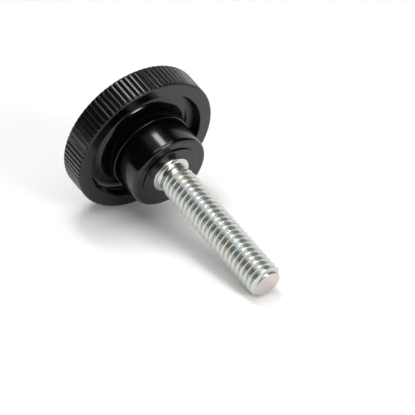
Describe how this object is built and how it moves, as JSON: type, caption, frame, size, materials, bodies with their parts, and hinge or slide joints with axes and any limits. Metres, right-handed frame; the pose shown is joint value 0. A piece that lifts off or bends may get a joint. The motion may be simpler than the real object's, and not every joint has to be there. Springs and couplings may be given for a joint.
{
  "type": "tension knob",
  "caption": "Round black plastic hand knob with fine finger ribs, a recessed front and a hub, moulded onto a plated threaded stud.",
  "frame": {"origin": "centre of the head's flat outer face", "axes": "+Z along the stud, from the outer face towards the stud's tip; X and Y are equivalent"},
  "size_m": [0.0358, 0.0358, 0.0533],
  "materials": {
    "black_plastic": "moulded, glossy black",
    "plated_steel": "bright zinc plate on rolled thread"
  },
  "bodies": {
    "root": {"knob_head": "black_plastic", "threaded_stud": "plated_steel"}
  },
  "joints": []
}
